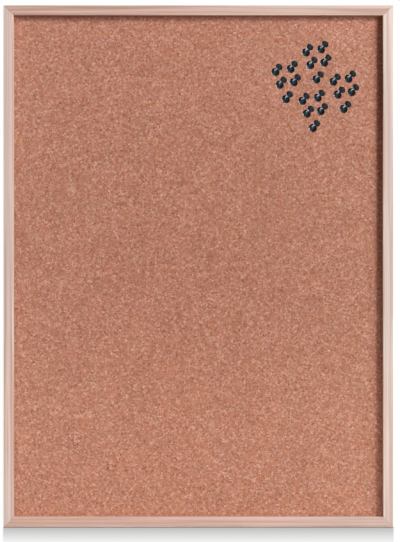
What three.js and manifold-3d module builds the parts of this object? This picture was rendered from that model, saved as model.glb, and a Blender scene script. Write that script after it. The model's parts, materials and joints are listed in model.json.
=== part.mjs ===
// A framed cork pin board for a wall, with its set of push pins.
// Four mitred pine rails are grooved to hold a cork sheet glued to a softboard core. V nails lock the mitres
// from behind, two sawtooth hangers on the top rail carry the board, and the pins lean in the cork.
// Millimetres, +Z up, the cork faces -Y. The origin is on the wall plane, on the line where the hangers
// hang, midway between them.
import * as THREE from "three";
import { mergeVertices } from "three/addons/utils/BufferGeometryUtils.js";
import Module from "manifold-3d";

// Board and rails
const BOARD_WIDTH = 448;
const BOARD_HEIGHT = 600;
const RAIL_FACE = 11.5;
const FRONT_ROUND = 0.7;
const REAR_ARRIS = 0.5;
const MITRE_GLUE_LINE = 0.1;

// Through a rail from front to back: a lip, the groove that holds the panel, and a thinner lip
const FRONT_LIP = 6;
const REAR_LIP = 2.2;
const GROOVE_DEPTH = 4;
const CORK_THICKNESS = 3;
const CORE_THICKNESS = 4.5;
const PANEL_GLUE_LINE = 0.1;
const PANEL_FACE_GAP = 0.1;
const PANEL_EDGE_GAP = 0.4;

// V nails across the back of each mitre
const V_NAIL_LEG = 5;
const V_NAIL_GAUGE = 0.6;
const V_NAIL_HEIGHT = 7;
const V_NAIL_SINK = 0.3;
const V_NAIL_KERF_GAP = 0.25;

// Sawtooth hangers, pressed from strip, and the nails that hold them
const HANGER_SPACING = 300;
const HANGER_LENGTH = 44;
const HANGER_WIDTH = 8;
const HANGER_GAUGE = 0.9;
const HANGER_RISE = 1.8;
const HANGER_FOOT = 8.5;
const HANGER_RAMP = 2.5;
const HANGER_CORNER = 1.8;
const HANGER_SEAT_GAP = 0.1;
const TOOTH_PITCH = 2.2;
const TOOTH_DEPTH = 1.5;
const HANGER_NAIL_SHANK = 1.4;
const HANGER_NAIL_LENGTH = 9;
const HANGER_NAIL_POINT = 1.6;
const HANGER_NAIL_HEAD = 3.2;
const HANGER_NAIL_HEAD_HEIGHT = 0.7;
const HANGER_NAIL_GAP = 0.25;

// Push pins
const FLANGE_DIAMETER = 10;
const FLANGE_HEIGHT = 2.2;
const CAP_DIAMETER = 8.4;
const CAP_HEIGHT = 1.5;
const CAP_DISH = 0.3;
const WAIST_DIAMETER = 3.9;
const HEAD_HEIGHT = 13;
const HEAD_CHAMFER = 0.4;
const FLANGE_CROWN = 0.9;
const NEEDLE_DIAMETER = 1.2;
const NEEDLE_LENGTH = 10.5;
const NEEDLE_POINT = 3;
const NEEDLE_ANCHOR = 6.5;
const NEEDLE_ANCHOR_GAP = 0.1;
const NEEDLE_HOLE_GAP = 0.3;
const PIN_SEAT_GAP = 0.3;

// The pins all lean the same way: away from square to the cork, towards the upper right
const PIN_LEAN_DEGREES = 30.5;
const PIN_LEAN_TOWARDS_DEGREES = 48;

// Pins stand in like groups. Both lists run to the left of and down from the board's top right corner:
// where each group starts, and where each needle in a group enters the cork
const PIN_GROUPS = [[84.1, 51.7], [119.2, 74.3], [52.6, 85.6], [88.1, 107.5]];
const PINS_IN_GROUP = [[0, 0], [17.5, 3.5], [-3.5, 15.4], [12.5, 18.2], [5.5, 34.7]];

// Facets
const RAIL_ROUND_STEPS = 2;
const HANGER_ROUND_STEPS = 4;
const HEAD_CURVE_STEPS = 3;
const HEAD_SIDES = 14;
const NEEDLE_SIDES = 8;
const NAIL_SIDES = 12;
const MERGE_DISTANCE = 1e-4;

// Places that follow from the sizes
const GROOVE_BACK = -REAR_LIP;
const CORE_BACK = GROOVE_BACK - PANEL_FACE_GAP;
const CORE_FRONT = CORE_BACK - CORE_THICKNESS;
const CORK_BACK = CORE_FRONT - PANEL_GLUE_LINE;
const CORK_FRONT = CORK_BACK - CORK_THICKNESS;
const GROOVE_FRONT = CORK_FRONT - PANEL_FACE_GAP;
const RAIL_FRONT = GROOVE_FRONT - FRONT_LIP;
const PANEL_INSET = RAIL_FACE - GROOVE_DEPTH + PANEL_EDGE_GAP;
const V_NAIL_INSET = (RAIL_FACE - GROOVE_DEPTH) / 2;
const HANGER_HEIGHT = BOARD_HEIGHT / 2 - RAIL_FACE / 2;
const HANG_LINE = HANGER_HEIGHT - HANGER_WIDTH / 2 + TOOTH_DEPTH;
const HANGER_NAIL_REACH = HANGER_LENGTH / 2 - HANGER_FOOT / 2;

const wasm = await Module();
wasm.setup();

// Materials
const finish = (color, roughness, metalness = 0) =>
  new THREE.MeshStandardMaterial({ color, roughness, metalness });
const pine = finish(0xd7bcae, 0.6);
const cork = finish(0xba8069, 0.95);
const softboard = finish(0x8f6f50, 0.95);
const zincSteel = finish(0xb4b6b8, 0.35, 1);
const blackPlastic = finish(0x14181b, 0.25);
const needleSteel = finish(0xc8cacc, 0.2, 1);

// Closed geometry as a solid that can be cut
function solidOf(geometry) {
  const bare = geometry.clone();
  bare.deleteAttribute("normal");
  bare.deleteAttribute("uv");
  const merged = mergeVertices(bare, MERGE_DISTANCE);
  return new wasm.Manifold(
    new wasm.Mesh({
      numProp: 3,
      vertProperties: merged.attributes.position.array,
      triVerts: new Uint32Array(merged.index.array),
    }),
  );
}

// A cut solid as geometry again, with flat facets
function geometryOf(solid) {
  const { vertProperties, triVerts } = solid.getMesh();
  const shared = new THREE.BufferGeometry()
    .setAttribute("position", new THREE.BufferAttribute(vertProperties, 3))
    .setIndex(new THREE.BufferAttribute(triVerts, 1));
  const facets = shared.toNonIndexed();
  facets.computeVertexNormals();
  return facets;
}

function cut(geometry, cutters) {
  const solid = cutters.reduce((left, cutter) => left.subtract(solidOf(cutter)), solidOf(geometry));
  return geometryOf(solid);
}

function meshOf(name, geometry, material) {
  const mesh = new THREE.Mesh(geometry, material);
  mesh.name = name;
  return mesh;
}

// An outline drawn across the board (x, z), given thickness from y = back towards the front
function plate(outline, back, thickness) {
  return new THREE.ExtrudeGeometry(outline, {
    depth: thickness,
    bevelEnabled: false,
    curveSegments: HANGER_ROUND_STEPS,
  })
    .rotateX(Math.PI / 2)
    .translate(0, back, 0);
}

// The elbow of a V nail, its corner at (x, z) and its legs running towards -x * side and -z
function elbowOutline(x, z, side, grow) {
  const half = V_NAIL_GAUGE / 2 + grow;
  const leg = V_NAIL_LEG + grow;
  const outline = new THREE.Shape();
  outline.moveTo(x + side * half, z + half);
  outline.lineTo(x - side * leg, z + half);
  outline.lineTo(x - side * leg, z - half);
  outline.lineTo(x - side * half, z - half);
  outline.lineTo(x - side * half, z - leg);
  outline.lineTo(x + side * half, z - leg);
  outline.closePath();
  return outline;
}

// A rail's section at the top of the board, drawn in (y, z) with its outer face at z = outer
function railSection(outer) {
  const inner = outer - RAIL_FACE;
  const grooveFloor = inner + GROOVE_DEPTH;
  const arcFront = RAIL_FRONT + FRONT_ROUND;
  const section = new THREE.Shape();
  section.moveTo(-REAR_ARRIS, inner);
  section.lineTo(0, inner + REAR_ARRIS);
  section.lineTo(0, outer - REAR_ARRIS);
  section.lineTo(-REAR_ARRIS, outer);
  section.lineTo(arcFront, outer);
  section.absarc(arcFront, outer - FRONT_ROUND, FRONT_ROUND, Math.PI / 2, Math.PI);
  section.lineTo(RAIL_FRONT, inner + FRONT_ROUND);
  section.absarc(arcFront, inner + FRONT_ROUND, FRONT_ROUND, Math.PI, 1.5 * Math.PI);
  section.lineTo(GROOVE_FRONT, inner);
  section.lineTo(GROOVE_FRONT, grooveFloor);
  section.lineTo(GROOVE_BACK, grooveFloor);
  section.lineTo(GROOVE_BACK, inner);
  section.closePath();
  return section;
}

// A rail lying along x whose ends are mitred: each point stops short of the full reach by its own depth
// below the outer face
function mitredBar(outer, reach) {
  const bar = new THREE.ExtrudeGeometry(railSection(outer), {
    depth: 1,
    bevelEnabled: false,
    curveSegments: RAIL_ROUND_STEPS,
  });
  const points = bar.attributes.position;
  for (let i = 0; i < points.count; i++) {
    const y = points.getX(i);
    const z = points.getY(i);
    const side = points.getZ(i) > 0 ? 1 : -1;
    points.setXYZ(i, side * (reach - (outer - z) - MITRE_GLUE_LINE), y, z);
  }
  return bar;
}

// The kerfs that the V nails make in the two ends of a rail
function mitreKerfs(outer, reach) {
  const z = outer - V_NAIL_INSET;
  const depth = V_NAIL_SINK + V_NAIL_HEIGHT + V_NAIL_KERF_GAP;
  const past = V_NAIL_KERF_GAP;
  return [1, -1].map((side) => {
    const x = side * (reach - V_NAIL_INSET);
    return plate(elbowOutline(x, z, side, V_NAIL_KERF_GAP), past, depth + past);
  });
}

// Hangers on the left and right of the top rail, each nailed through its outer and inner foot
const hangerSides = [["left", -1], ["right", 1]];
const hangerNails = hangerSides.flatMap(([name, side]) =>
  [["outer", side], ["inner", -side]].map(([place, end]) => ({
    name: `hanger_nail_${name}_${place}`,
    x: (side * HANGER_SPACING) / 2 + end * HANGER_NAIL_REACH,
  })),
);

function nailHoles() {
  const depth = HANGER_NAIL_LENGTH + HANGER_NAIL_GAP;
  const radius = HANGER_NAIL_SHANK / 2 + HANGER_NAIL_GAP;
  return hangerNails.map(({ x }) =>
    new THREE.CylinderGeometry(radius, radius, 2 * depth, NAIL_SIDES).translate(x, 0, HANGER_HEIGHT),
  );
}

// Rails, each turned into its place from the top of the board
function makeRails() {
  const across = [BOARD_HEIGHT / 2, BOARD_WIDTH / 2];
  const upright = [BOARD_WIDTH / 2, BOARD_HEIGHT / 2];
  const rails = [
    ["rail_top", across, 0, nailHoles()],
    ["rail_right", upright, Math.PI / 2, []],
    ["rail_bottom", across, Math.PI, []],
    ["rail_left", upright, -Math.PI / 2, []],
  ];
  return rails.map(([name, [outer, reach], turn, holes]) => {
    const bar = cut(mitredBar(outer, reach), [...mitreKerfs(outer, reach), ...holes]);
    const rail = meshOf(name, bar, pine);
    rail.rotation.y = turn;
    return rail;
  });
}

// V nails, one driven into the back of each mitre
function makeVNails() {
  const elbow = plate(elbowOutline(0, 0, 1, 0), -V_NAIL_SINK, V_NAIL_HEIGHT);
  const x = BOARD_WIDTH / 2 - V_NAIL_INSET;
  const z = BOARD_HEIGHT / 2 - V_NAIL_INSET;
  const corners = [
    ["v_nail_top_right", x, z, 0],
    ["v_nail_bottom_right", x, -z, Math.PI / 2],
    ["v_nail_bottom_left", -x, -z, Math.PI],
    ["v_nail_top_left", -x, z, -Math.PI / 2],
  ];
  return corners.map(([name, cornerX, cornerZ, turn]) => {
    const nail = meshOf(name, elbow, zincSteel);
    nail.position.set(cornerX, 0, cornerZ);
    nail.rotation.y = turn;
    return nail;
  });
}

// Sawtooth hanger: a strip stepped up off the rail between two feet, cut to a toothed outline
function stripSection() {
  const end = HANGER_LENGTH / 2;
  const foot = end - HANGER_FOOT;
  const flat = foot - HANGER_RAMP;
  const bends = [[-end, 0], [-foot, 0], [-flat, HANGER_RISE], [flat, HANGER_RISE], [foot, 0], [end, 0]];
  const under = bends.map(([x, y]) => new THREE.Vector2(x, y + HANGER_SEAT_GAP));
  const over = under.map(({ x, y }) => new THREE.Vector2(x, y + HANGER_GAUGE)).reverse();
  return new THREE.Shape([...under, ...over]);
}

function hangerOutline() {
  const end = HANGER_LENGTH / 2;
  const edge = HANGER_WIDTH / 2;
  const round = HANGER_CORNER;
  const flat = HANGER_LENGTH - 2 * (HANGER_FOOT + HANGER_RAMP);
  const notches = 2 * Math.floor((flat / TOOTH_PITCH - 1) / 2) + 1;
  const outline = new THREE.Shape();
  outline.moveTo(-end + round, -edge);
  const firstTooth = (-notches / 2) * TOOTH_PITCH;
  outline.lineTo(firstTooth, -edge);
  for (let i = 0; i < notches; i++) {
    outline.lineTo(firstTooth + (i + 0.5) * TOOTH_PITCH, -edge + TOOTH_DEPTH);
    outline.lineTo(firstTooth + (i + 1) * TOOTH_PITCH, -edge);
  }
  outline.lineTo(end - round, -edge);
  outline.absarc(end - round, -edge + round, round, -Math.PI / 2, 0);
  outline.absarc(end - round, edge - round, round, 0, Math.PI / 2);
  outline.absarc(-end + round, edge - round, round, Math.PI / 2, Math.PI);
  outline.absarc(-end + round, -edge + round, round, Math.PI, 1.5 * Math.PI);
  for (const side of [1, -1]) {
    const hole = new THREE.Path();
    hole.absarc(side * HANGER_NAIL_REACH, 0, HANGER_NAIL_SHANK / 2 + HANGER_NAIL_GAP, 0, 2 * Math.PI);
    outline.holes.push(hole);
  }
  return outline;
}

function makeHangers() {
  const strip = new THREE.ExtrudeGeometry(stripSection(), {
    depth: HANGER_WIDTH,
    bevelEnabled: false,
  }).translate(0, 0, -HANGER_WIDTH / 2);
  const stripBack = HANGER_SEAT_GAP + HANGER_RISE + HANGER_GAUGE;
  const outline = plate(hangerOutline(), stripBack + HANGER_GAUGE, stripBack + 2 * HANGER_GAUGE);
  const pressed = geometryOf(solidOf(strip).intersect(solidOf(outline)));
  return hangerSides.map(([name, side]) => {
    const hanger = meshOf(`hanger_${name}`, pressed, zincSteel);
    hanger.position.set((side * HANGER_SPACING) / 2, 0, HANGER_HEIGHT);
    return hanger;
  });
}

// Flat-headed nail standing on the wall side of the rail, its point towards the front
function makeHangerNails() {
  const shank = HANGER_NAIL_SHANK / 2;
  const seat = 2 * HANGER_SEAT_GAP + HANGER_GAUGE;
  const profile = [
    [0, -HANGER_NAIL_LENGTH],
    [shank, -HANGER_NAIL_LENGTH + HANGER_NAIL_POINT],
    [shank, seat],
    [HANGER_NAIL_HEAD / 2, seat],
    [HANGER_NAIL_HEAD / 2, seat + HANGER_NAIL_HEAD_HEIGHT],
    [0, seat + HANGER_NAIL_HEAD_HEIGHT],
  ].map(([radius, along]) => new THREE.Vector2(radius, along));
  const turned = new THREE.LatheGeometry(profile, NAIL_SIDES);
  return hangerNails.map(({ name, x }) => {
    const nail = meshOf(name, turned, zincSteel);
    nail.position.set(x, 0, HANGER_HEIGHT);
    return nail;
  });
}

// Pin head, turned about its own length (y) from the foot of the flange up to the dished cap
function headProfile() {
  const flange = FLANGE_DIAMETER / 2;
  const cap = CAP_DIAMETER / 2;
  const waist = WAIST_DIAMETER / 2;
  const bore = NEEDLE_DIAMETER / 2 + NEEDLE_ANCHOR_GAP;
  const capFoot = HEAD_HEIGHT - CAP_HEIGHT;
  const middle = (FLANGE_HEIGHT + capFoot) / 2;
  const profile = new THREE.Path();
  profile.moveTo(0, NEEDLE_ANCHOR + NEEDLE_ANCHOR_GAP);
  profile.lineTo(bore, NEEDLE_ANCHOR + NEEDLE_ANCHOR_GAP);
  profile.lineTo(bore, 0);
  profile.lineTo(flange - HEAD_CHAMFER, 0);
  profile.lineTo(flange, HEAD_CHAMFER);
  profile.lineTo(flange, FLANGE_HEIGHT - FLANGE_CROWN);
  profile.quadraticCurveTo(flange, FLANGE_HEIGHT, flange - FLANGE_CROWN, FLANGE_HEIGHT);
  profile.bezierCurveTo(waist, FLANGE_HEIGHT, waist, FLANGE_HEIGHT, waist, middle);
  profile.bezierCurveTo(waist, capFoot, waist, capFoot, cap - HEAD_CHAMFER, capFoot);
  profile.lineTo(cap, capFoot + HEAD_CHAMFER);
  profile.lineTo(cap, HEAD_HEIGHT - HEAD_CHAMFER);
  profile.lineTo(cap - HEAD_CHAMFER, HEAD_HEIGHT);
  profile.lineTo(0, HEAD_HEIGHT - CAP_DISH);
  return profile.getPoints(HEAD_CURVE_STEPS);
}

function needleProfile() {
  const radius = NEEDLE_DIAMETER / 2;
  return [
    [0, -NEEDLE_LENGTH],
    [radius, -NEEDLE_LENGTH + NEEDLE_POINT],
    [radius, NEEDLE_ANCHOR],
    [0, NEEDLE_ANCHOR],
  ].map(([across, along]) => new THREE.Vector2(across, along));
}

const lean = THREE.MathUtils.degToRad(PIN_LEAN_DEGREES);
const leanTowards = THREE.MathUtils.degToRad(PIN_LEAN_TOWARDS_DEGREES);
const pinAxis = new THREE.Vector3(
  Math.sin(lean) * Math.cos(leanTowards),
  -Math.cos(lean),
  Math.sin(lean) * Math.sin(leanTowards),
);
const pinTurn = new THREE.Quaternion().setFromUnitVectors(new THREE.Vector3(0, 1, 0), pinAxis);

// How far along the needle the leaning head stops, with the low side of its flange on the cork
function headStandOff(profile) {
  const drops = profile.map(({ x, y }) => x * Math.sin(lean) - y * Math.cos(lean));
  return (Math.max(...drops) + PIN_SEAT_GAP) / Math.cos(lean);
}

const pinHeadProfile = headProfile();
const standOff = headStandOff(pinHeadProfile);
const pinEntries = PIN_GROUPS.flatMap(([groupLeft, groupDown]) =>
  PINS_IN_GROUP.map(
    ([left, down]) =>
      new THREE.Vector3(
        BOARD_WIDTH / 2 - groupLeft - left,
        CORK_FRONT,
        BOARD_HEIGHT / 2 - groupDown - down,
      ),
  ),
);

function makePins() {
  const head = new THREE.LatheGeometry(pinHeadProfile, HEAD_SIDES);
  const needle = new THREE.LatheGeometry(needleProfile(), NEEDLE_SIDES);
  return pinEntries.map((entry, i) => {
    const name = `pin_${String(i + 1).padStart(2, "0")}`;
    const pin = new THREE.Group();
    pin.position.copy(entry);
    pin.quaternion.copy(pinTurn);
    pin.add(meshOf(`${name}_head`, head, blackPlastic), meshOf(`${name}_needle`, needle, needleSteel));
    for (const piece of pin.children) {
      piece.position.y = standOff;
    }
    return pin;
  });
}

// The holes that the needles make, from in front of the cork to just past each point
function needleHoles() {
  const radius = NEEDLE_DIAMETER / 2 + NEEDLE_HOLE_GAP;
  const deep = NEEDLE_LENGTH - standOff + NEEDLE_HOLE_GAP;
  const hole = new THREE.CylinderGeometry(radius, radius, deep + standOff, NEEDLE_SIDES);
  hole.translate(0, (standOff - deep) / 2, 0).applyQuaternion(pinTurn);
  return pinEntries.map(({ x, y, z }) => hole.clone().translate(x, y, z));
}

// Cork sheet and softboard core, slid into the groove of the rails and pierced by the needles
function makePanel() {
  const width = BOARD_WIDTH - 2 * PANEL_INSET;
  const height = BOARD_HEIGHT - 2 * PANEL_INSET;
  const layers = [
    ["cork_sheet", CORK_FRONT, CORK_BACK, cork],
    ["softboard_core", CORE_FRONT, CORE_BACK, softboard],
  ];
  return layers.map(([name, front, back, material]) => {
    const sheet = new THREE.BoxGeometry(width, back - front, height).translate(0, (front + back) / 2, 0);
    return meshOf(name, cut(sheet, needleHoles()), material);
  });
}

const board = new THREE.Group();
board.add(...makeRails(), ...makeVNails(), ...makePanel(), ...makeHangers(), ...makeHangerNails());
board.add(...makePins());
board.position.z = -HANG_LINE;

const pinBoard = new THREE.Group();
pinBoard.add(board);

export default pinBoard;
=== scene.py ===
import json
import math
import bmesh
import bpy
from mathutils import Matrix, Vector

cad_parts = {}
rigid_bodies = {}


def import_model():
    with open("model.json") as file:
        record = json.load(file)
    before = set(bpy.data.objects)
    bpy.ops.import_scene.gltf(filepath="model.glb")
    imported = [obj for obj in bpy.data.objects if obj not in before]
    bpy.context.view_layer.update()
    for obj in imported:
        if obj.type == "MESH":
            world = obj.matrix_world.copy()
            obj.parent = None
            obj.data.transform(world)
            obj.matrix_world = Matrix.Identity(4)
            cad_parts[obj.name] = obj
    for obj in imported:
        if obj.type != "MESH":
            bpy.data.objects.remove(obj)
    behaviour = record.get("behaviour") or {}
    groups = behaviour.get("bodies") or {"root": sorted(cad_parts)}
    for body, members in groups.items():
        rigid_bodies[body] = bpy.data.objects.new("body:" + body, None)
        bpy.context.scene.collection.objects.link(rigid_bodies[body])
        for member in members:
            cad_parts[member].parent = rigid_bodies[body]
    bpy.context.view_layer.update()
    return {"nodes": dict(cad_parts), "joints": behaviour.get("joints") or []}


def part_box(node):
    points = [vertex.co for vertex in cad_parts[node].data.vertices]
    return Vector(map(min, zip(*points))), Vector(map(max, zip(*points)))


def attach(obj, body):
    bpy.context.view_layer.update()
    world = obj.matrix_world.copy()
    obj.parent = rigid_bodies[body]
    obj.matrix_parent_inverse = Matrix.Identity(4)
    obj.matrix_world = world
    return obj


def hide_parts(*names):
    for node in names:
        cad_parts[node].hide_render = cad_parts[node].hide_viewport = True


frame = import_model()
nodes = frame["nodes"]

# Frame rails
# Four planed strips of knot-free pine, 11.5 mm wide on the face, grooved along the inside for the
# panel. The front edges are sanded round, the back ones only broken, and the corners are mitred
# and glued.
MM = 0.001
FRONT_ROUND = 0.7 * MM
FRONT_ROUND_STEPS = 6
REAR_ARRIS = 0.5 * MM
REAR_ARRIS_STEPS = 2
GROOVE_DEPTH = 4 * MM
GROOVE_FRONT = -10 * MM
GROOVE_BACK = -2.2 * MM
MITRE_GLUE_LINE = 0.1 * MM
MITRE_ARRIS = 0.3 * MM
SAW_WASTE = 20 * MM
RAIL_CREASE = 35
NEAR = 0.01 * MM
WELD = 0.001 * MM
FACING = 0.9

top_low, top_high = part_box("rail_top")
bottom_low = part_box("rail_bottom")[0]
right_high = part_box("rail_right")[1]
rail_face = top_high.z - top_low.z
rail_depth = top_high.y - top_low.y
half_width = right_high.x
half_height = (top_high.z - bottom_low.z) / 2
board_centre = Vector((0, 0, top_high.z - half_height))


def pick(kind, wanted):
    """Selects only the edges or faces of the mesh being edited for which wanted is true."""
    mesh = bpy.context.edit_object.data
    bpy.ops.mesh.select_mode(type={"edges": "EDGE", "faces": "FACE"}[kind])
    bpy.ops.mesh.select_all(action="DESELECT")
    for element in getattr(bmesh.from_edit_mesh(mesh), kind):
        if wanted(element):
            element.select_set(True)
    bmesh.update_edit_mesh(mesh)


def close_piece(crease):
    """Closes the mesh being edited, points its faces outwards and puts its place in the mesh."""
    bpy.ops.mesh.select_all(action="SELECT")
    bpy.ops.mesh.remove_doubles(threshold=WELD)
    bpy.ops.mesh.normals_make_consistent(inside=False)
    bpy.ops.object.mode_set(mode="OBJECT")
    bpy.ops.object.transform_apply(location=True, rotation=True, scale=True)
    bpy.ops.object.shade_smooth_by_angle(angle=math.radians(crease))


def plane_rail(name, outer, reach, turn):
    """A rail planed, grooved and mitred along X, then turned about Y to its side of the frame."""
    bpy.ops.object.select_all(action="DESELECT")
    bpy.ops.mesh.primitive_cube_add(size=1, location=(0, -rail_depth / 2, outer - rail_face / 2))
    rail = bpy.context.object
    rail.name = name
    rail.scale = (2 * (reach + SAW_WASTE), rail_depth, rail_face)
    bpy.ops.object.transform_apply(location=True, rotation=True, scale=True)
    bpy.ops.object.mode_set(mode="EDIT")
    pick(
        "edges",
        lambda e: e.calc_length() > reach and all(v.co.y < NEAR - rail_depth for v in e.verts),
    )
    bpy.ops.mesh.bevel(offset=FRONT_ROUND, segments=FRONT_ROUND_STEPS, affect="EDGES")
    pick("edges", lambda e: e.calc_length() > reach and all(v.co.y > -NEAR for v in e.verts))
    bpy.ops.mesh.bevel(offset=REAR_ARRIS, segments=REAR_ARRIS_STEPS, affect="EDGES")
    for groove_wall in (GROOVE_FRONT, GROOVE_BACK):
        bpy.ops.mesh.select_all(action="SELECT")
        bpy.ops.mesh.bisect(plane_co=(0, groove_wall, 0), plane_no=(0, 1, 0))
    pick(
        "faces",
        lambda f: f.normal.z < -FACING and GROOVE_FRONT < f.calc_center_median().y < GROOVE_BACK,
    )
    bpy.ops.mesh.extrude_region_move(TRANSFORM_OT_translate={"value": (0, 0, GROOVE_DEPTH)})
    cut_back = (MITRE_GLUE_LINE / 2 + MITRE_ARRIS) * math.sqrt(2)
    for end in (-1, 1):
        corner = (end * (reach - cut_back), 0, outer)
        mitre = Vector((end, 0, -1)).normalized()
        bpy.ops.mesh.select_all(action="SELECT")
        bpy.ops.mesh.bisect(plane_co=corner, plane_no=mitre, use_fill=True, clear_outer=True)
        pick("faces", lambda f: f.normal.dot(mitre) > FACING)
        bpy.ops.mesh.inset(thickness=MITRE_ARRIS, depth=MITRE_ARRIS)
    bpy.ops.object.mode_set(mode="OBJECT")
    rail.rotation_euler = (0, turn, 0)
    rail.location = board_centre
    bpy.ops.object.mode_set(mode="EDIT")
    close_piece(RAIL_CREASE)
    return rail


def linear(hex_colour):
    """An sRGB hex colour as linear red, green, blue and alpha."""
    parts = [int(hex_colour[i:i + 2], 16) / 255 for i in (1, 3, 5)]
    return tuple(p / 12.92 if p <= 0.04045 else ((p + 0.055) / 1.055) ** 2.4 for p in parts) + (1,)


def add(tree, kind, inputs, stops=(), **settings):
    """Adds a node, sets its properties and ramp stops, and gives each input a value or a link."""
    made = tree.nodes.new(kind)
    for name, value in settings.items():
        setattr(made, name, value)
    for place, value in inputs.items():
        if isinstance(value, bpy.types.NodeSocket):
            tree.links.new(value, made.inputs[place])
        else:
            made.inputs[place].default_value = value
    for number, (position, colour) in enumerate(stops):
        ramp = made.color_ramp.elements
        stop = ramp[number] if number < 2 else ramp.new(position)
        stop.position = position
        stop.color = colour
    return made


def new_finish(name):
    """A new material with its node tree, its surface and the place on the piece that it reads."""
    finish = bpy.data.materials.new(name)
    finish.use_nodes = True
    tree = finish.node_tree
    place = add(tree, "ShaderNodeTexCoord", {}).outputs["Object"]
    return finish, tree, tree.nodes["Principled BSDF"], place


# Planed pine, left bare: soft pale stripes of early wood between fine darker lines of late wood,
# along the rail, with a dull satin surface that the plane left slightly ridged. Light and shade are
# painted on the front edges and the inner wall: a painted highlight along the inner edge, painted
# light along the outer edge, painted light on the inner walls of the top and bottom rails and
# painted shade on those of the left and right rails. A strip changes a little from end to end.
GRAIN_LENGTH = 240 * MM
BAND_WIDTH = 3.4 * MM
LINE_WIDTH = 0.9 * MM
FLUSH_LENGTH = 130 * MM
GRAIN_RELIEF = 0.05 * MM
ACROSS = 0
UPRIGHT = 2
PLAIN = (1, 1, 1, 1)

# Where a node that mixes two colours takes them and gives the result.
MIX_FROM = 6
MIX_TO = 7
MIXED = 2


def bare_pine(name, grain_axis, outer, reach, woods, ends, wall_painted_shading, inner_edge_painted_highlight, outer_edge_painted_light, seed):
    """Pine in a strip's early, middle and late wood colours, with tints for its ends, and painted
    light and shade on its edges and inner wall.
    """
    pine, tree, surface, place = new_finish(name)
    pale, middle, deep = woods
    textures = []
    for width in (BAND_WIDTH, LINE_WIDTH):
        scale = [1 / width] * 3
        scale[grain_axis] = 1 / GRAIN_LENGTH
        along = add(
            tree, "ShaderNodeMapping",
            {"Vector": place, "Location": (seed, seed, seed), "Scale": scale},
        ).outputs["Vector"]
        textures.append(add(
            tree, "ShaderNodeTexNoise",
            {"Vector": along, "Scale": 1, "Detail": 2, "Roughness": 0.5, "Distortion": 0.3},
        ).outputs["Fac"])
    bands, lines = textures
    wood = add(
        tree, "ShaderNodeValToRGB", {"Fac": bands},
        stops=((0.41, linear(deep)), (0.59, linear(pale)), (0.5, linear(middle))),
    ).outputs["Color"]
    late = add(
        tree, "ShaderNodeMapRange",
        {"Value": lines, "From Min": 0.35, "From Max": 0.65, "To Min": 0.905, "To Max": 1.055},
    ).outputs["Result"]
    flush = add(
        tree, "ShaderNodeTexNoise", {"Vector": place, "Scale": 1 / FLUSH_LENGTH, "Detail": 1},
    ).outputs["Fac"]
    shade = add(
        tree, "ShaderNodeMapRange",
        {"Value": flush, "From Min": 0.3, "From Max": 0.7, "To Min": 0.965, "To Max": 1.03},
    ).outputs["Result"]
    weight = add(tree, "ShaderNodeMath", {0: late, 1: shade}, operation="MULTIPLY").outputs[0]
    tone = add(
        tree, "ShaderNodeVectorMath", {0: wood, "Scale": weight}, operation="SCALE",
    ).outputs["Vector"]
    spot = add(
        tree, "ShaderNodeVectorMath", {0: place, 1: board_centre}, operation="SUBTRACT",
    ).outputs["Vector"]
    from_centre = add(tree, "ShaderNodeSeparateXYZ", {"Vector": spot})
    end = add(
        tree, "ShaderNodeMapRange",
        {"Value": from_centre.outputs[grain_axis], "From Min": -reach, "From Max": reach},
    ).outputs["Result"]
    end_tint = add(
        tree, "ShaderNodeMix", {0: end, MIX_FROM: ends[0], MIX_TO: ends[1]}, data_type="RGBA",
    ).outputs[MIXED]
    sideways = add(
        tree, "ShaderNodeMath", {0: from_centre.outputs[UPRIGHT - grain_axis]},
        operation="ABSOLUTE",
    ).outputs[0]
    over_face = add(
        tree, "ShaderNodeMapRange",
        {"Value": sideways, "From Min": outer - rail_face, "From Max": outer},
    ).outputs["Result"]
    # Painted light and shade across the face: a tint on the inner wall, a painted highlight along
    # the inner edge and painted light along the outer edge.
    painted_edge_shading = add(
        tree, "ShaderNodeValToRGB", {"Fac": over_face},
        stops=(
            (0, wall_painted_shading), (1, outer_edge_painted_light), (0.012, wall_painted_shading), (0.024, inner_edge_painted_highlight),
            (0.13, PLAIN), (0.84, PLAIN),
        ),
    ).outputs["Color"]
    for tint in (end_tint, painted_edge_shading):
        tone = add(
            tree, "ShaderNodeVectorMath", {0: tone, 1: tint}, operation="MULTIPLY",
        ).outputs["Vector"]
    tree.links.new(tone, surface.inputs["Base Color"])
    sheen = add(
        tree, "ShaderNodeMapRange",
        {"Value": lines, "From Min": 0.3, "From Max": 0.7, "To Min": 0.68, "To Max": 0.52},
    ).outputs["Result"]
    tree.links.new(sheen, surface.inputs["Roughness"])
    ridges = add(
        tree, "ShaderNodeBump", {"Height": lines, "Strength": 0.5, "Distance": GRAIN_RELIEF},
    ).outputs["Normal"]
    tree.links.new(ridges, surface.inputs["Normal"])
    surface.inputs["IOR"].default_value = 1.5
    surface.inputs["Specular IOR Level"].default_value = 0.35
    return pine
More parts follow.
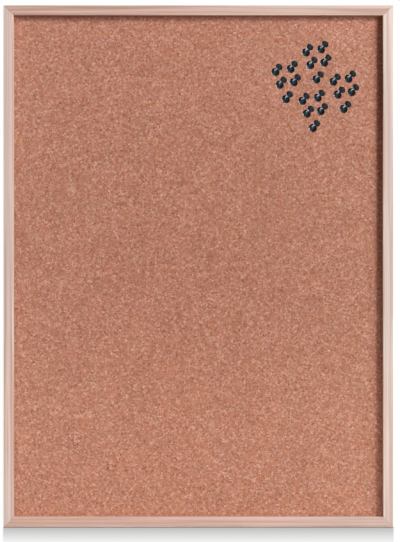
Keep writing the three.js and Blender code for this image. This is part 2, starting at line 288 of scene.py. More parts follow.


# Each strip's early, middle and late wood, the tints of its two ends, and the painted light and
# shade of its inner wall, inner edge and outer edge.
strips = {
    "top": {
        "woods": ("#d8bbab", "#cdad9f", "#c1988a"),
        "ends": ((0.98, 0.94, 0.92, 1), (1.07, 1.12, 1.14, 1)),
        "wall_painted_shading": (1.35, 1.1, 0.98, 1),
        "inner_edge_painted_highlight": (1.15, 1.13, 1.11, 1),
        "outer_edge_painted_light": (0.97, 1.1, 1.18, 1),
        "seed": 3.1,
    },
    "right": {
        "woods": ("#e2cfc4", "#ddc8be", "#d4b7aa"),
        "ends": (PLAIN, PLAIN),
        "wall_painted_shading": (0.5, 0.42, 0.36, 1),
        "inner_edge_painted_highlight": (1.5, 1.48, 1.46, 1),
        "outer_edge_painted_light": (1, 1.03, 1.06, 1),
        "seed": 11.7,
    },
    "bottom": {
        "woods": ("#e0bcac", "#dcb6a6", "#d5aa99"),
        "ends": ((0.9, 0.85, 0.84, 1), (1.01, 1.12, 1.2, 1)),
        "wall_painted_shading": (1.25, 1.4, 1.45, 1),
        "inner_edge_painted_highlight": (1.2, 1.22, 1.22, 1),
        "outer_edge_painted_light": (1, 1.02, 1.05, 1),
        "seed": 23.9,
    },
    "left": {
        "woods": ("#e4cabe", "#dbbcae", "#cea291"),
        "ends": ((0.97, 1.02, 1.05, 1), (1, 0.99, 0.98, 1)),
        "wall_painted_shading": (0.64, 0.64, 0.62, 1),
        "inner_edge_painted_highlight": (1.27, 1.3, 1.3, 1),
        "outer_edge_painted_light": (1.25, 1.45, 1.55, 1),
        "seed": 37.3,
    },
}
# Each side's distance from the centre to its outer edge, half its length, its turn and its grain.
sides = (
    ("top", half_height, half_width, 0, ACROSS),
    ("right", half_width, half_height, math.pi / 2, UPRIGHT),
    ("bottom", half_height, half_width, math.pi, ACROSS),
    ("left", half_width, half_height, -math.pi / 2, UPRIGHT),
)
rails = {}
for side, outer, reach, turn, grain_axis in sides:
    rail = plane_rail(f"pine_rail_{side}", outer, reach, turn)
    pine = bare_pine(f"bare_pine_{side}", grain_axis, outer, reach, **strips[side])
    rail.data.materials.append(pine)
    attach(rail, "board")
    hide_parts(f"rail_{side}")
    rails[side] = rail

# Cork sheet
# The face of the board: ground cork pressed with a binder into a 3 mm sheet and sanded flat, so
# grains are cut through and show as pale, rusty and dark specks. It is glued to the core behind it.
# Painted light makes it a little paler towards its sides, most at the right, but not in the strip
# that the right rail shades, and painted shade darkens it along the frame.
GRAIN_SIZE = 2.05 * MM
CRUMB_SIZE = 1.1 * MM
CRUMB_SHARE = 0.4
RAGGEDNESS = 0.6 * GRAIN_SIZE
BARK_SPACING = 7 * MM
MOTTLE_SIZE = 28 * MM
BLUSH_SIZE = 9 * MM
# How far from the frame the painted shade on the cork reaches.
FRAME_SHADE_WIDTH = 5 * MM
CORK_RELIEF = 0.12 * MM

cork, tree, surface, place = new_finish("pressed_cork")
ragged = add(
    tree, "ShaderNodeTexNoise", {"Vector": place, "Scale": 1 / CRUMB_SIZE, "Detail": 2},
).outputs["Color"]
shift = add(
    tree, "ShaderNodeVectorMath", {0: ragged, 1: (0.5, 0.5, 0.5)}, operation="SUBTRACT",
).outputs["Vector"]
torn = add(
    tree, "ShaderNodeVectorMath", {0: shift, 1: (RAGGEDNESS, RAGGEDNESS, RAGGEDNESS), 2: place},
    operation="MULTIPLY_ADD",
).outputs["Vector"]
grains = add(tree, "ShaderNodeTexVoronoi", {"Vector": torn, "Scale": 1 / GRAIN_SIZE})
crumbs = add(tree, "ShaderNodeTexVoronoi", {"Vector": torn, "Scale": 1 / CRUMB_SIZE})
grain_tone = add(tree, "ShaderNodeSeparateColor", {"Color": grains.outputs["Color"]})
crumb_tone = add(tree, "ShaderNodeSeparateColor", {"Color": crumbs.outputs["Color"]})
ground = add(
    tree, "ShaderNodeMix",
    {"Factor": CRUMB_SHARE, "A": grain_tone.outputs["Red"], "B": crumb_tone.outputs["Red"]},
).outputs["Result"]
tone = add(
    tree, "ShaderNodeValToRGB", {"Fac": ground},
    stops=(
        (0.06, linear("#9a5c44")), (0.94, linear("#d7ad9a")), (0.24, linear("#b1745c")),
        (0.5, linear("#bc8168")), (0.74, linear("#c68e76")),
    ),
).outputs["Color"]
bark = add(tree, "ShaderNodeTexVoronoi", {"Vector": torn, "Scale": 1 / BARK_SPACING})
bark_spot = add(
    tree, "ShaderNodeMapRange",
    {"Value": bark.outputs["Distance"], "From Min": 0.1, "From Max": 0.17,
     "To Min": 0.7, "To Max": 0},
).outputs["Result"]
tone = add(
    tree, "ShaderNodeMix", {0: bark_spot, MIX_FROM: tone, MIX_TO: linear("#7d4a35")},
    data_type="RGBA",
).outputs[MIXED]
mottle = add(
    tree, "ShaderNodeTexNoise", {"Vector": place, "Scale": 1 / MOTTLE_SIZE, "Detail": 3},
).outputs["Fac"]
shade = add(
    tree, "ShaderNodeMapRange",
    {"Value": mottle, "From Min": 0.25, "From Max": 0.75, "To Min": 0.945, "To Max": 1.055},
).outputs["Result"]
blush = add(
    tree, "ShaderNodeTexNoise", {"Vector": place, "Scale": 1 / BLUSH_SIZE, "Detail": 2},
).outputs["Color"]
tint = add(
    tree, "ShaderNodeVectorMath", {0: blush, 1: (0.24, 0.02, 0.36), 2: (0.88, 0.99, 0.82)},
    operation="MULTIPLY_ADD",
).outputs["Vector"]
sideways = add(tree, "ShaderNodeSeparateXYZ", {"Vector": place}).outputs["X"]
across = add(
    tree, "ShaderNodeMapRange",
    {"Value": sideways, "From Min": -half_width, "From Max": half_width},
).outputs["Result"]
# Painted light: the cork is painted paler towards its sides, most towards the right, but not in the
# strip that the right rail shades.
painted_side_light = add(
    tree, "ShaderNodeValToRGB", {"Fac": across},
    stops=(
        (0, (1.01, 1.03, 1.07, 1)), (1, (0.98, 0.98, 0.99, 1)), (0.42, (0.965, 0.955, 0.98, 1)),
        (0.74, (0.99, 1, 1.03, 1)), (0.92, (1.05, 1.08, 1.12, 1)), (0.965, (0.98, 0.98, 0.99, 1)),
    ),
).outputs["Color"]
for layer in (tint, painted_side_light):
    tone = add(
        tree, "ShaderNodeVectorMath", {0: tone, 1: layer}, operation="MULTIPLY",
    ).outputs["Vector"]
spot = add(
    tree, "ShaderNodeVectorMath", {0: place, 1: board_centre}, operation="SUBTRACT",
).outputs["Vector"]
span = add(tree, "ShaderNodeVectorMath", {0: spot}, operation="ABSOLUTE").outputs["Vector"]
opening = (half_width - rail_face, 0, half_height - rail_face)
margin = add(
    tree, "ShaderNodeVectorMath", {0: opening, 1: span}, operation="SUBTRACT",
).outputs["Vector"]
inside = add(tree, "ShaderNodeSeparateXYZ", {"Vector": margin})
from_frame = add(
    tree, "ShaderNodeMath", {0: inside.outputs["X"], 1: inside.outputs["Z"]}, operation="MINIMUM",
).outputs[0]
# Painted shade: the cork is painted darker within a few millimetres of the frame, in the recess
# where shade falls.
painted_frame_shade = add(
    tree, "ShaderNodeMapRange",
    {"Value": from_frame, "From Max": FRAME_SHADE_WIDTH, "To Min": 0.85, "To Max": 1},
).outputs["Result"]
shade = add(tree, "ShaderNodeMath", {0: shade, 1: painted_frame_shade}, operation="MULTIPLY").outputs[0]
tone = add(
    tree, "ShaderNodeVectorMath", {0: tone, "Scale": shade}, operation="SCALE",
).outputs["Vector"]
tree.links.new(tone, surface.inputs["Base Color"])
pits = add(
    tree, "ShaderNodeBump", {"Height": ground, "Strength": 0.6, "Distance": CORK_RELIEF},
).outputs["Normal"]
tree.links.new(pits, surface.inputs["Normal"])
dust = add(
    tree, "ShaderNodeMapRange", {"Value": ground, "To Min": 0.92, "To Max": 0.78},
).outputs["Result"]
tree.links.new(dust, surface.inputs["Roughness"])
surface.inputs["IOR"].default_value = 1.4
surface.inputs["Specular IOR Level"].default_value = 0.2
nodes["cork_sheet"].data.materials.clear()
nodes["cork_sheet"].data.materials.append(cork)

# Softboard core
# A sheet of felted wood fibre behind the cork, soft enough for the needles. Its bare brown back is
# what the wall side of the board shows, with long fibres, a fine screen print and darker flecks of
# bark.
FIBRE_LENGTH = 9 * MM
FIBRE_WIDTH = 0.7 * MM
FIBRE_TURNS = (0.35, -0.5, 1.4)
SCREEN_PITCH = 1.6 * MM
FLECK_SPACING = 6 * MM
NAP_HEIGHT = 0.15 * MM

softboard, tree, surface, place = new_finish("felted_softboard")
fibres = []
for angle in FIBRE_TURNS:
    laid = add(
        tree, "ShaderNodeMapping", {"Vector": place, "Rotation": (0, angle, 0)},
    ).outputs["Vector"]
    drawn = add(
        tree, "ShaderNodeMapping",
        {"Vector": laid, "Scale": (1 / FIBRE_LENGTH, 1 / FIBRE_WIDTH, 1 / FIBRE_WIDTH)},
    ).outputs["Vector"]
    fibres.append(add(
        tree, "ShaderNodeTexNoise", {"Vector": drawn, "Scale": 1, "Detail": 2},
    ).outputs["Fac"])
felt = fibres[0]
for layer in fibres[1:]:
    felt = add(tree, "ShaderNodeMath", {0: felt, 1: layer}, operation="MAXIMUM").outputs[0]
tone = add(
    tree, "ShaderNodeValToRGB", {"Fac": felt},
    stops=((0.42, linear("#8a6a4c")), (0.75, linear("#c3a27c")), (0.58, linear("#a98660"))),
).outputs["Color"]
flecks = add(tree, "ShaderNodeTexVoronoi", {"Vector": place, "Scale": 1 / FLECK_SPACING})
fleck_spot = add(
    tree, "ShaderNodeMapRange",
    {"Value": flecks.outputs["Distance"], "From Min": 0.07, "From Max": 0.13,
     "To Min": 0.6, "To Max": 0},
).outputs["Result"]
tone = add(
    tree, "ShaderNodeMix", {0: fleck_spot, MIX_FROM: tone, MIX_TO: linear("#5d4330")},
    data_type="RGBA",
).outputs[MIXED]
tree.links.new(tone, surface.inputs["Base Color"])
screen = add(
    tree, "ShaderNodeTexVoronoi",
    {"Vector": place, "Scale": 1 / SCREEN_PITCH, "Randomness": 0.15},
).outputs["Distance"]
fuzz = add(tree, "ShaderNodeMath", {0: screen, 1: felt}, operation="ADD").outputs[0]
nap = add(
    tree, "ShaderNodeBump", {"Height": fuzz, "Strength": 0.5, "Distance": NAP_HEIGHT},
).outputs["Normal"]
tree.links.new(nap, surface.inputs["Normal"])
surface.inputs["Roughness"].default_value = 0.92
surface.inputs["IOR"].default_value = 1.4
surface.inputs["Specular IOR Level"].default_value = 0.2
nodes["softboard_core"].data.materials.clear()
nodes["softboard_core"].data.materials.append(softboard)

# Corner nails and hangers
# A bent steel strip is driven into the back of each mitre, and two sawtooth hangers stamped from
# strip stand on the top rail. All are zinc plated. The die has rolled the stamped edges over a
# little.
STAMPED_EDGE = 0.12 * MM
STAMPED_EDGE_STEPS = 2
STAMPED_EDGE_ANGLE = 50
STAMPED_CREASE = 40
FLAT_ANGLE = 1
SPANGLE_SIZE = 1.8 * MM
DRAWN_LINE = 0.25 * MM
SCUFF_DEPTH = 0.02 * MM

# Zinc plated steel: a pale grey, spangled metal with a satin gloss and fine scuffs.
zinc, tree, surface, place = new_finish("zinc_plated_steel")
spangle = add(tree, "ShaderNodeTexVoronoi", {"Vector": place, "Scale": 1 / SPANGLE_SIZE})
facet = add(tree, "ShaderNodeSeparateColor", {"Color": spangle.outputs["Color"]})
tone = add(
    tree, "ShaderNodeValToRGB", {"Fac": facet.outputs["Red"]},
    stops=((0, linear("#a9adb0")), (1, linear("#d3d6d6"))),
).outputs["Color"]
tree.links.new(tone, surface.inputs["Base Color"])
satin = add(
    tree, "ShaderNodeMapRange", {"Value": facet.outputs["Green"], "To Min": 0.28, "To Max": 0.44},
).outputs["Result"]
tree.links.new(satin, surface.inputs["Roughness"])
scuffs = add(
    tree, "ShaderNodeTexNoise", {"Vector": place, "Scale": 1 / DRAWN_LINE, "Detail": 3},
).outputs["Fac"]
wear = add(
    tree, "ShaderNodeBump", {"Height": scuffs, "Strength": 0.15, "Distance": SCUFF_DEPTH},
).outputs["Normal"]
tree.links.new(wear, surface.inputs["Normal"])
surface.inputs["Metallic"].default_value = 1


def copy_piece(pattern, name):
    """A copy of a piece, with a mesh of its own."""
    bpy.ops.object.select_all(action="DESELECT")
    bpy.context.view_layer.objects.active = pattern
    pattern.select_set(True)
    bpy.ops.object.duplicate()
    copy = bpy.context.object
    copy.name = name
    return copy


stamped = {}
for corner in ("top_right", "bottom_right", "bottom_left", "top_left"):
    stamped[f"v_nail_{corner}"] = f"corner_nail_{corner}"
for side in ("left", "right"):
    stamped[f"hanger_{side}"] = f"sawtooth_hanger_{side}"
steel = bpy.data.collections.new("steel")
for node, name in stamped.items():
    strip = copy_piece(nodes[node], name)
    for key in list(strip.keys()):
        del strip[key]
    bpy.ops.object.mode_set(mode="EDIT")
    bpy.ops.mesh.select_all(action="SELECT")
    bpy.ops.mesh.remove_doubles(threshold=WELD)
    bpy.ops.mesh.dissolve_limited(angle_limit=math.radians(FLAT_ANGLE))
    bpy.ops.object.mode_set(mode="OBJECT")
    rolled = strip.modifiers.new("stamped edge", "BEVEL")
    rolled.width = STAMPED_EDGE
    rolled.segments = STAMPED_EDGE_STEPS
    rolled.limit_method = "ANGLE"
    rolled.angle_limit = math.radians(STAMPED_EDGE_ANGLE)
    bpy.ops.object.modifier_apply(modifier=rolled.name)
    bpy.ops.object.shade_smooth_by_angle(angle=math.radians(STAMPED_CREASE))
    strip.data.materials.clear()
    strip.data.materials.append(zinc)
    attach(strip, "board")
    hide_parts(node)
    steel.objects.link(strip)

# Hanger nails
# Four short round nails with domed heads, zinc plated like the hangers, hold the hangers' feet down
# on the top rail. Each is turned here along its own length with its point into the wood.
NAIL_SHANK = 1.4 * MM
NAIL_POINT = 1.6 * MM
NAIL_TIP = 0.08 * MM
NAIL_HEAD = 3.2 * MM
NAIL_HEAD_HEIGHT = 0.7 * MM
NAIL_HEAD_UNDERCUT = 0.1 * MM
NAIL_DOME = 0.75 * NAIL_HEAD_HEIGHT
NAIL_DOME_STEPS = 5
NAIL_SIDES = 32
TURNED_CREASE = 40
POLE = 0.2 * MM


def turn_piece(name, profile, sides):
    """A round piece along Z through rings of (radius, height), closed at both ends."""
    radius, height = profile[0]
    bpy.ops.object.select_all(action="DESELECT")
    bpy.ops.mesh.primitive_circle_add(
        vertices=sides, radius=radius, fill_type="NGON", location=(0, 0, height),
    )
    piece = bpy.context.object
    piece.name = name
    bpy.ops.object.transform_apply(location=True, rotation=True, scale=True)
    bpy.ops.object.mode_set(mode="EDIT")
    bpy.ops.mesh.select_all(action="SELECT")
    for next_radius, next_height in profile[1:]:
        rise = (0, 0, next_height - height)
        bpy.ops.mesh.extrude_region_move(TRANSFORM_OT_translate={"value": rise})
        spread = next_radius / radius
        bpy.ops.transform.resize(value=(spread, spread, 1), center_override=(0, 0, next_height))
        radius, height = next_radius, next_height
    close_piece(TURNED_CREASE)
    return piece


def put_copy(pattern, name, tip, direction):
    """A copy of a turned piece with its Z along a direction and its zero at the tip."""
    copy = copy_piece(pattern, name)
    turned = direction.to_track_quat("Z", "Y").to_matrix().to_4x4()
    copy.matrix_world = Matrix.Translation(tip) @ turned
    bpy.ops.object.transform_apply(location=True, rotation=True, scale=True)
    return copy


nail_low, nail_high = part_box("hanger_nail_left_outer")
nail_length = nail_high.y - nail_low.y
head_foot = nail_length - NAIL_HEAD_HEIGHT
dome = []
for step in range(NAIL_DOME_STEPS):
    lift = math.radians(90 * step / NAIL_DOME_STEPS)
    sunk = NAIL_DOME * (1 - math.sin(lift))
    dome.append((NAIL_HEAD / 2 * math.cos(lift), nail_length - sunk))
nail_profile = [
    (NAIL_TIP, 0),
    (NAIL_SHANK / 2, NAIL_POINT),
    (NAIL_SHANK / 2, head_foot),
    (NAIL_HEAD / 2 - NAIL_HEAD_UNDERCUT, head_foot),
    *dome,
    (POLE, nail_length),
]
nail_pattern = turn_piece("nail_pattern", nail_profile, NAIL_SIDES)
nail_pattern.data.materials.append(zinc)
for nail_place in ("left_outer", "left_inner", "right_outer", "right_inner"):
    node = f"hanger_nail_{nail_place}"
    low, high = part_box(node)
    tip = Vector(((low.x + high.x) / 2, low.y, (low.z + high.z) / 2))
    nail = put_copy(nail_pattern, f"domed_nail_{nail_place}", tip, Vector((0, 1, 0)))
    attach(nail, "board")
    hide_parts(node)
    steel.objects.link(nail)
bpy.data.objects.remove(nail_pattern)

# Push pins
# Twenty push pins of moulded black polystyrene, each with a wide flange, a narrow waist to hold and
# a dished cap, moulded round a hardened steel needle. They are pushed in at a slant at the upper
# right.
NEEDLE_LENGTH = 10.5 * MM
NEEDLE_DIAMETER = 1.2 * MM
NEEDLE_SIDES = 20
NEEDLE_POINT = 3 * MM
NEEDLE_TIP = 0.05 * MM
POINT_BELLY = 0.3 * NEEDLE_DIAMETER
POINT_BELLY_HEIGHT = 0.45 * NEEDLE_POINT
HEAD_HEIGHT = 13 * MM
HEAD_SIDES = 40
FLANGE_DIAMETER = 10 * MM
FLANGE_HEIGHT = 2.2 * MM
FLANGE_CROWN = 0.9 * MM
CROWN_RISE = 0.8 * FLANGE_CROWN
WAIST_DIAMETER = 3.9 * MM
WAIST_FLARE = 0.3 * MM
WAIST_HOLLOW = 0.3 * MM
FOOT_RISE = 1.1 * MM
FOOT_HOLLOW = 0.35 * MM
NECK_RISE = 0.8 * MM
NECK_HOLLOW = 0.25 * MM
CAP_DIAMETER = 8.4 * MM
CAP_HEIGHT = 1.5 * MM
CAP_ROUND = 0.65 * MM
CAP_RIM = 0.4 * MM
CAP_DISH = 0.3 * MM
CAP_DISH_EDGE = 0.3 * MM
EDGE_ROUND = 0.4 * MM
EDGE_MIDDLE = 0.3 * EDGE_ROUND
FLOW_WIDTH = 3 * MM
FLOW_RELIEF = 0.05 * MM
GRINDING_MARK = 0.3 * MM

# Moulded polystyrene: a smooth, hard, blue-black gloss with faint flow marks round the pin.
black_plastic, tree, surface, place = new_finish("moulded_black_polystyrene")
flow = add(
    tree, "ShaderNodeTexNoise", {"Vector": place, "Scale": 1 / FLOW_WIDTH, "Detail": 2},
).outputs["Fac"]
tone = add(
    tree, "ShaderNodeValToRGB", {"Fac": flow},
    stops=((0.3, linear("#1f2123")), (0.7, linear("#292c2f"))),
).outputs["Color"]
tree.links.new(tone, surface.inputs["Base Color"])
gloss = add(
    tree, "ShaderNodeMapRange",
    {"Value": flow, "From Min": 0.3, "From Max": 0.7, "To Min": 0.3, "To Max": 0.36},
).outputs["Result"]
tree.links.new(gloss, surface.inputs["Roughness"])
ripple = add(
    tree, "ShaderNodeBump", {"Height": flow, "Strength": 0.2, "Distance": FLOW_RELIEF},
).outputs["Normal"]
tree.links.new(ripple, surface.inputs["Normal"])
surface.inputs["IOR"].default_value = 1.59
surface.inputs["Specular Tint"].default_value = (0.42, 0.72, 1, 1)

# Hardened needle wire: bright, drawn and polished, with hair-fine grinding marks.
needle_steel, tree, surface, place = new_finish("polished_needle_steel")
marks = add(
    tree, "ShaderNodeTexNoise", {"Vector": place, "Scale": 1 / GRINDING_MARK, "Detail": 2},
).outputs["Fac"]
tone = add(
    tree, "ShaderNodeValToRGB", {"Fac": marks},
    stops=((0.3, linear("#b4b7ba")), (0.7, linear("#d9dbdc"))),
).outputs["Color"]
tree.links.new(tone, surface.inputs["Base Color"])
polish = add(
    tree, "ShaderNodeMapRange", {"Value": marks, "To Min": 0.16, "To Max": 0.3},
).outputs["Result"]
tree.links.new(polish, surface.inputs["Roughness"])
surface.inputs["Metallic"].default_value = 1


def swept(start, end, steps, hollow):
    """Rings from one (radius, height) to another, drawn in by hollow halfway between them."""
    rings = []
    for step in range(1, steps + 1):
        t = step / steps
        radius = start[0] + (end[0] - start[0]) * t - hollow * 4 * t * (1 - t)
        rings.append((radius, start[1] + (end[1] - start[1]) * t))
    return rings


def rounded(rim, inward, upward, steps):
    """Rings of a quarter round that leaves a rim at (radius, height) for a point inward and up."""
    rings = []
    for step in range(1, steps + 1):
        turn = math.radians(90 * step / steps)
        rings.append((rim[0] - inward * (1 - math.cos(turn)), rim[1] + upward * math.sin(turn)))
    return rings


flange = FLANGE_DIAMETER / 2
cap = CAP_DIAMETER / 2
flare = WAIST_DIAMETER / 2 + WAIST_FLARE
foot = NEEDLE_LENGTH
top = NEEDLE_LENGTH + HEAD_HEIGHT
flange_rim = (flange, foot + FLANGE_HEIGHT - FLANGE_CROWN)
crown_top = (flange - FLANGE_CROWN, flange_rim[1] + CROWN_RISE)
waist_foot = (flare, foot + FLANGE_HEIGHT + FOOT_RISE)
waist_neck = (flare, top - CAP_HEIGHT - NECK_RISE)
cap_foot = (cap - EDGE_ROUND, top - CAP_HEIGHT)
cap_rim = (cap, top - CAP_ROUND)
cap_flat = cap - CAP_ROUND - CAP_RIM
head_profile = [
    (flange - EDGE_ROUND, foot),
    (flange - EDGE_MIDDLE, foot + EDGE_MIDDLE),
    (flange, foot + EDGE_ROUND),
    flange_rim,
    *rounded(flange_rim, FLANGE_CROWN, CROWN_RISE, 5),
    *swept(crown_top, waist_foot, 5, FOOT_HOLLOW),
    *swept(waist_foot, waist_neck, 6, WAIST_HOLLOW),
    *swept(waist_neck, cap_foot, 4, NECK_HOLLOW),
    (cap, cap_foot[1] + EDGE_ROUND),
    cap_rim,
    *rounded(cap_rim, CAP_ROUND, CAP_ROUND, 4),
    (cap_flat, top),
    (cap_flat - CAP_DISH_EDGE, top - 0.3 * CAP_DISH),
    (cap * 0.5, top - 0.8 * CAP_DISH),
    (POLE, top - CAP_DISH),
]
needle_profile = [
    (NEEDLE_TIP, 0),
    (POINT_BELLY, POINT_BELLY_HEIGHT),
    (NEEDLE_DIAMETER / 2, NEEDLE_POINT),
    (NEEDLE_DIAMETER / 2, NEEDLE_LENGTH + FLANGE_HEIGHT),
]
heads = bpy.data.collections.new("heads")
needles = bpy.data.collections.new("needles")
head_pattern = turn_piece("head_pattern", head_profile, HEAD_SIDES)
head_pattern.data.materials.append(black_plastic)
needle_pattern = turn_piece("needle_pattern", needle_profile, NEEDLE_SIDES)
needle_pattern.data.materials.append(needle_steel)
for joint in frame["joints"]:
    pin = joint["child"]
    pull = Vector(joint["axis"]).normalized()
    wire = nodes[f"{pin}_needle"].data.vertices
    tip = min((v.co for v in wire), key=lambda co: co.dot(pull)).copy()
    head = put_copy(head_pattern, f"{pin}_moulded_head", tip, pull)
    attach(head, pin)
    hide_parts(f"{pin}_head")
    heads.objects.link(head)
    needle = put_copy(needle_pattern, f"{pin}_ground_needle", tip, pull)
    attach(needle, pin)
    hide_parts(f"{pin}_needle")
    needles.objects.link(needle)
    steel.objects.link(needle)
bpy.data.objects.remove(head_pattern)
bpy.data.objects.remove(needle_pattern)

# Studio
# The board stands on a white floor in a white room. A large soft lamp at the right throws the
# frame's shade on the cork, light off the floor reaches the lower part, and small lamps draw the
# gloss on the pins and the steel.
FLOOR_SIZE = 12
FLOOR_GLOW = 1
FLOOR_TONE = 0.1
OPEN_FLOOR = (1, 1, 1, 1)
SHADE_LENGTH = 0.1
SHADE_SPAN = 0.2
SHADE_TAPER = 0.16
SHADE_INSET = 0.5 * MM
SHADE_BLUR = 2 * MM
FRONT_SHADE = (0.52, 0.52, 0.52, 1)
CONTACT_SHADE = (0.26, 0.24, 0.23, 1)
REAR_SHADE = (0.6, 0.6, 0.6, 1)
WHITE = (1, 1, 1)
ROOM_FILL = 0.06
ROOM_TINT = (1.35, 1, 0.95)
CAMERA_AT = Vector((0.0019, -1.416, -0.29715))
SENSOR = 36
LENS = 80.91

# Matt white floor with the frame's soft shade on it: deepest under the front of the bottom rail,
# fading forwards and backwards, and drawn in at its sides.
floor_finish, tree, surface, place = new_finish("matt_white_floor")
on_floor = add(tree, "ShaderNodeSeparateXYZ", {"Vector": place})
shade_start = -rail_depth - SHADE_LENGTH
ahead = add(
    tree, "ShaderNodeMapRange",
    {"Value": on_floor.outputs["Y"], "From Min": shade_start, "From Max": shade_start + SHADE_SPAN},
).outputs["Result"]
shade = add(
    tree, "ShaderNodeValToRGB", {"Fac": ahead},
    stops=(
        (0, OPEN_FLOOR), (0.82, OPEN_FLOOR), (0.478, FRONT_SHADE), (0.49, CONTACT_SHADE),
        (0.58, CONTACT_SHADE), (0.6, REAR_SHADE),
    ),
).outputs["Color"]
off_centre = add(
    tree, "ShaderNodeMath", {0: on_floor.outputs["X"]}, operation="ABSOLUTE",
).outputs[0]
from_front = add(
    tree, "ShaderNodeMath", {0: on_floor.outputs["Y"], 1: rail_depth}, operation="ADD",
).outputs[0]
off_front = add(tree, "ShaderNodeMath", {0: from_front}, operation="ABSOLUTE").outputs[0]
outward = add(
    tree, "ShaderNodeMath", {0: off_front, 1: SHADE_TAPER, 2: off_centre}, operation="MULTIPLY_ADD",
).outputs[0]
shade_side = half_width - SHADE_INSET
beside = add(
    tree, "ShaderNodeMapRange",
    {"Value": outward, "From Min": shade_side, "From Max": shade_side + SHADE_BLUR},
).outputs["Result"]
shade = add(
    tree, "ShaderNodeMix", {0: beside, MIX_FROM: shade, MIX_TO: OPEN_FLOOR}, data_type="RGBA",
).outputs[MIXED]
matt = add(
    tree, "ShaderNodeVectorMath", {0: shade, "Scale": FLOOR_TONE}, operation="SCALE",
).outputs["Vector"]
tree.links.new(matt, surface.inputs["Base Color"])
tree.links.new(shade, surface.inputs["Emission Color"])
surface.inputs["Emission Strength"].default_value = FLOOR_GLOW
surface.inputs["Roughness"].default_value = 0.7
surface.inputs["Specular IOR Level"].default_value = 0
floor_level = board_centre.z - half_height
bpy.ops.object.select_all(action="DESELECT")
bpy.ops.mesh.primitive_plane_add(size=FLOOR_SIZE, location=(0, 0, floor_level))
floor = bpy.context.object
floor.name = "studio_floor"
bpy.ops.object.transform_apply(location=True, rotation=True, scale=True)
floor.data.materials.append(floor_finish)
floor.visible_diffuse = False
floor.visible_glossy = False

world = bpy.data.worlds.new("white_room")
world.use_nodes = True
bpy.context.scene.world = world
tree = world.node_tree
seen = add(tree, "ShaderNodeBackground", {"Color": (*WHITE, 1), "Strength": 1})
fill = add(tree, "ShaderNodeBackground", {"Color": (*ROOM_TINT, 1), "Strength": ROOM_FILL})
ray = add(tree, "ShaderNodeLightPath", {})
room = add(
    tree, "ShaderNodeMixShader",
    {0: ray.outputs["Is Camera Ray"], 1: fill.outputs["Background"], 2: seen.outputs["Background"]},
)
tree.links.new(room.outputs["Shader"], tree.nodes["World Output"].inputs["Surface"])


def all_but(name, pieces):
    """A collection for a lamp that leaves these pieces out and takes in everything else."""
    group = bpy.data.collections.new(name)
    for piece in pieces:
        group.objects.link(piece)
    for link in group.collection_objects:
        link.light_linking.link_state = "EXCLUDE"
    return group


def hang_lamp(name, kind, towards, power, colour, lit, shaded_by=None, location=(0, 0, 0)):
    """A lamp that shines from a direction on lit, and that everything or only shaded_by shades."""
    lamp_data = bpy.data.lights.new(name, kind)
    lamp_data.energy = power
    lamp_data.color = colour
    lamp = bpy.data.objects.new(name, lamp_data)
    lamp.location = location
    lamp.rotation_euler = Vector(towards).to_track_quat("Z", "Y").to_euler()
    lamp.visible_camera = False
    lamp.visible_glossy = False
    lamp.light_linking.receiver_collection = lit
    lamp.light_linking.blocker_collection = shaded_by
    bpy.context.scene.collection.objects.link(lamp)
    return lamp


# Key light from the right: a large round lamp, high up, that fades down the board, and an even one
# below it.
KEY_SOFTNESS = 21
KEY_SPREAD = 40
KEY_COLOUR = (0.955, 1, 1.02)
KEY_PLACE = board_centre + Vector((2.4, -1.7, 2.05))
KEY_AIM = Vector((0, 0, 0.35))
pins = [*heads.objects, *needles.objects]
board_only = all_but("board_only", [floor, *pins])
without_pins = all_but("without_pins", pins)
key_upper = hang_lamp(
    "key_upper", "SPOT", KEY_PLACE - KEY_AIM, power=610, colour=KEY_COLOUR,
    lit=board_only, shaded_by=without_pins, location=KEY_PLACE,
)
key_upper.data.spot_size = math.radians(KEY_SPREAD)
key_upper.data.spot_blend = 1
key_distance = (KEY_PLACE - board_centre).length
key_upper.data.shadow_soft_size = key_distance * math.tan(math.radians(KEY_SOFTNESS / 2))
key_lower = hang_lamp(
    "key_lower", "SUN", (1.42, -1, 0.1), power=2.06, colour=KEY_COLOUR,
    lit=board_only, shaded_by=without_pins,
)
key_lower.data.angle = math.radians(KEY_SOFTNESS)

# Wide soft light from the front, which the pins don't shade.
WIDE_SOFTNESS = 170
fill_lamp = hang_lamp(
    "fill_lamp", "SUN", (-0.25, -1, -0.6), power=0.4, colour=ROOM_TINT,
    lit=board_only, shaded_by=without_pins,
)
fill_lamp.data.angle = math.radians(WIDE_SOFTNESS)

# Softer lamp behind the board, for its back.
BACK_SOFTNESS = 30
back_lamp = hang_lamp(
    "back_lamp", "SUN", (-1, 1, 0.55), power=4.2, colour=WHITE, lit=board_only,
)
back_lamp.data.angle = math.radians(BACK_SOFTNESS)

# Light off the floor in front of the board.
FLOOR_LIGHT_AT = Vector((0.09, -0.25, floor_level + 10 * MM))
FLOOR_LIGHT_WIDTH = 1
FLOOR_LIGHT_HEIGHT = 0.1
floor_light = hang_lamp(
    "floor_light", "AREA", (0, -1, -0.2), power=1.1, colour=(1, 1, 0.96),
    lit=board_only, shaded_by=without_pins, location=FLOOR_LIGHT_AT,
)
floor_light.data.shape = "RECTANGLE"
floor_light.data.size = FLOOR_LIGHT_WIDTH
floor_light.data.size_y = FLOOR_LIGHT_HEIGHT

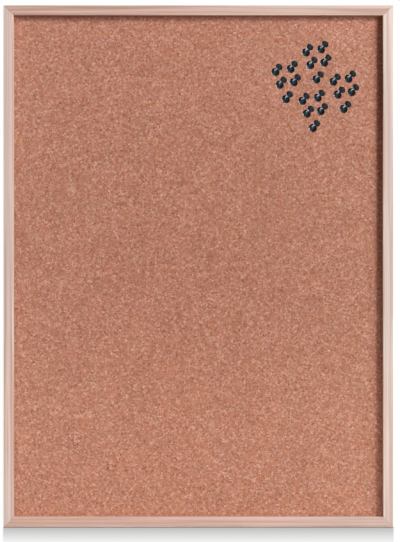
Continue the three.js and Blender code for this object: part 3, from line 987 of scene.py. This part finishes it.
# Low lamp at the left that only the right rail sees, for its inner edge.
right_rail = bpy.data.collections.new("right_rail")
right_rail.objects.link(rails["right"])
edge_lamp = hang_lamp(
    "edge_lamp", "SUN", (-1, -0.15, -0.05), power=2.8, colour=WHITE, lit=right_rail,
)
edge_lamp.data.angle = math.radians(KEY_SOFTNESS)

# Wide lamps in front and behind that only the steel sees.
STEEL_LAMPS = (("steel_front", (0.5, -1, 0.4), 2.2), ("steel_back", (-0.4, 1, 0.5), 1.8))
for name, towards, power in STEEL_LAMPS:
    lamp = hang_lamp(name, "SUN", towards, power, WHITE, lit=steel)
    lamp.data.angle = math.radians(WIDE_SOFTNESS)
    lamp.visible_glossy = True

# Small round lamps that only the heads of the pins see, each for the gloss on one part of them.
# Some are behind the board, so the board doesn't show in any gloss.
for piece in (nodes["cork_sheet"], nodes["softboard_core"], *rails.values()):
    piece.visible_glossy = False
PINS_MIDDLE = Vector((0.118, -0.015, -0.07))
PIN_LAMP_WIDTH = 0.4
PIN_LAMPS = (
    ("waist_lamp", (-0.73, 0.65, -0.18), 8.5, (1, 1, 0.95)),
    ("neck_lamp", (-0.6, 0.65, 0.45), 4.5, (1, 1, 1)),
    ("shoulder_lamp", (-0.98, -0.12, 0.02), 3.5, (1.35, 1, 0.88)),
    ("rim_lamp", (-0.45, -0.7, -0.55), 10, (0.75, 1, 1)),
    ("flange_lamp", (0.43, -0.75, 0.5), 0.9, (1.6, 1, 0.8)),
    ("cap_lamp", (0.6, -0.33, 0.73), 0.5, (1.3, 1, 0.95)),
)
for name, towards, power, colour in PIN_LAMPS:
    lamp = hang_lamp(
        name, "AREA", towards, power, colour,
        lit=heads, shaded_by=needles, location=PINS_MIDDLE + Vector(towards),
    )
    lamp.data.shape = "DISK"
    lamp.data.size = PIN_LAMP_WIDTH
    lamp.visible_glossy = True

camera_data = bpy.data.cameras.new("camera")
camera_data.sensor_width = SENSOR
camera_data.lens = LENS
camera = bpy.data.objects.new("camera", camera_data)
camera.location = CAMERA_AT
camera.rotation_euler = (math.pi / 2, 0, 0)
bpy.context.scene.collection.objects.link(camera)
bpy.context.scene.camera = camera
bpy.context.scene.view_settings.view_transform = "Standard"
